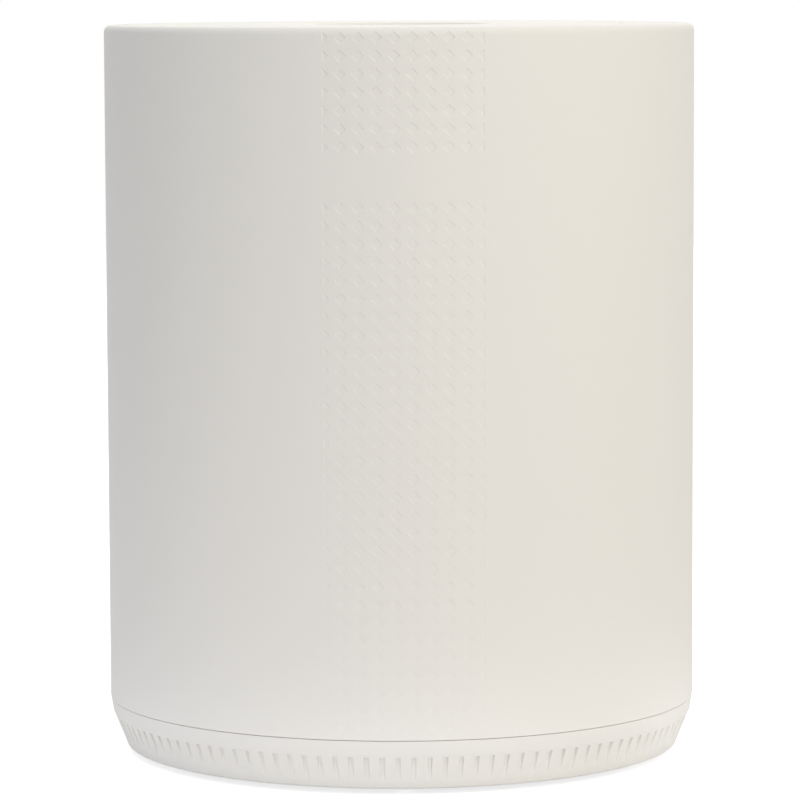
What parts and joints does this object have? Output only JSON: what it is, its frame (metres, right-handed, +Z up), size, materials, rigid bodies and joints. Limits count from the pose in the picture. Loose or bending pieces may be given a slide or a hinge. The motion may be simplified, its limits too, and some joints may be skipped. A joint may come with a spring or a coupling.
{
  "type": "electric food waste composter",
  "caption": "Drum-shaped electric food waste composter with a lift-off locking lid, a lift-out bucket with a grinder, a gear drive and a rear carbon filter drawer.",
  "frame": {"origin": "centre of the drum on the surface it stands on", "axes": "+Z up along the drum's axis, -Y the front with the start button and the embossed band, +X the right side seen from the front"},
  "size_m": [0.2949, 0.295, 0.365],
  "materials": {
    "body": "warm off-white, fine matte",
    "deck": "warm off-white, fine matte",
    "lid": "warm off-white, fine matte",
    "knob": "warm grey-white, satin",
    "inner_plastic": "dark grey moulding",
    "black_plastic": "black",
    "rubber": "soft, matt",
    "seal": "grey silicone",
    "steel": "zinc-plated",
    "cutter_steel": "hardened, ground",
    "bucket_metal": "cast, dark non-stick coat",
    "chamber_metal": "spun",
    "bush_metal": "sintered bronze",
    "gear_plastic": "natural acetal",
    "felt": "needled felt",
    "carbon": "granules",
    "mesh": "woven mesh",
    "board": "circuit board",
    "light": "milky light guide",
    "contact": "plated",
    "magnet": "nickel-plated"
  },
  "bodies": {
    "housing": {"outer_sleeve": "body", "base_skirt": "body", "base_pan": "inner_plastic", "feet": "rubber", "pan_screws": "steel", "sleeve_screws": "steel", "top_deck": "deck", "status_lights": "light", "tact_switch": "black_plastic", "control_board": "board", "lid_sensor": "black_plastic", "chamber_liner": "chamber_metal", "chamber_insulation": "felt", "heater_plate": "chamber_metal", "heater_element": "steel", "thermostat": "black_plastic", "idler_pin": "steel", "motor_can": "steel", "gearbox_lower": "black_plastic", "gearbox_upper": "black_plastic", "gearbox_screws": "steel", "shaft_bushes": "bush_metal", "air_duct": "inner_plastic", "fan_housing": "black_plastic", "fan_motor": "steel", "filter_box": "inner_plastic", "power_inlet": "black_plastic", "inlet_pins": "contact", "main_board": "board"},
    "lid": {"lid_shell": "lid", "lid_liner": "lid", "lid_gasket": "seal", "lid_magnet": "magnet"},
    "knob": {"lid_knob": "knob", "lock_cam": "gear_plastic"},
    "bolt_left": {"lock_bolt_left": "steel"},
    "bolt_right": {"lock_bolt_right": "steel"},
    "bucket": {"bucket": "bucket_metal", "fixed_cutters": "cutter_steel", "shaft_bush": "bush_metal", "shaft_seal": "rubber"},
    "bail": {"bucket_bail": "cutter_steel", "bail_grip": "black_plastic"},
    "grinder": {"grinder_hub": "cutter_steel", "grinder_blades": "cutter_steel", "hub_nut": "cutter_steel", "grinder_coupling": "black_plastic"},
    "output": {"drive_dog": "black_plastic", "output_shaft": "steel", "output_gear": "gear_plastic"},
    "idler": {"idler_gear": "gear_plastic"},
    "pinion": {"motor_pinion": "steel"},
    "fan": {"fan_impeller": "black_plastic"},
    "filter": {"filter_drawer": "body", "carbon_cassette": "inner_plastic", "carbon_granules": "carbon", "cassette_mesh": "mesh"},
    "button": {"start_button": "knob"}
  },
  "joints": [
    {"name": "lid_lift", "type": "slide", "parent": "housing", "child": "lid", "axis": [0, 0, 1], "range_m": [0, 0.4]},
    {"name": "knob_turn", "type": "hinge", "parent": "lid", "child": "knob", "pos_m": [0, 0, 0.35], "axis": [0, 0, 1], "range_deg": [0, 60]},
    {"name": "bolt_left_slide", "type": "slide", "parent": "lid", "child": "bolt_left", "axis": [-1, 0, 0], "range_m": [0, 0.006]},
    {"name": "bolt_right_slide", "type": "slide", "parent": "lid", "child": "bolt_right", "axis": [1, 0, 0], "range_m": [0, 0.006]},
    {"name": "bucket_lift", "type": "slide", "parent": "housing", "child": "bucket", "axis": [0, 0, 1], "range_m": [0, 0.28]},
    {"name": "bail_swing", "type": "hinge", "parent": "bucket", "child": "bail", "pos_m": [0, 0, 0.295], "axis": [-1, 0, 0], "range_deg": [0, 90]},
    {"name": "output_spin", "type": "hinge", "parent": "housing", "child": "output", "pos_m": [0, 0, 0.045], "axis": [0, 0, 1], "continuous": true},
    {"name": "idler_spin", "type": "hinge", "parent": "housing", "child": "idler", "pos_m": [-0.03413, -0.06111, 0.045], "axis": [0, 0, 1], "continuous": true},
    {"name": "motor_spin", "type": "hinge", "parent": "housing", "child": "pinion", "pos_m": [-0.08485, -0.08485, 0.05], "axis": [0, 0, 1], "continuous": true},
    {"name": "grinder_spin", "type": "hinge", "parent": "bucket", "child": "grinder", "pos_m": [0, 0, 0.12], "axis": [0, 0, 1], "continuous": true},
    {"name": "fan_spin", "type": "hinge", "parent": "housing", "child": "fan", "pos_m": [0, 0.12, 0.29], "axis": [0, 1, 0], "continuous": true},
    {"name": "filter_slide", "type": "slide", "parent": "housing", "child": "filter", "axis": [0, 1, 0], "range_m": [0, 0.055]},
    {"name": "button_press", "type": "slide", "parent": "housing", "child": "button", "axis": [0, 0, -1], "range_m": [0, 0.0015], "stiffness_N_per_m": 400, "springref_m": -0.002}
  ],
  "couplings": [
    {"joint": "bolt_left_slide", "follows": "knob_turn", "m_per_rad": 0.0057295},
    {"joint": "bolt_right_slide", "follows": "knob_turn", "m_per_rad": 0.0057295},
    {"joint": "bucket_lift", "follows": "lid_lift", "ratio": 0.7},
    {"joint": "bail_swing", "follows": "lid_lift", "rad_per_m": 3.92},
    {"joint": "idler_spin", "follows": "output_spin", "ratio": -4},
    {"joint": "motor_spin", "follows": "output_spin", "ratio": 12},
    {"joint": "grinder_spin", "follows": "output_spin", "ratio": 1}
  ]
}
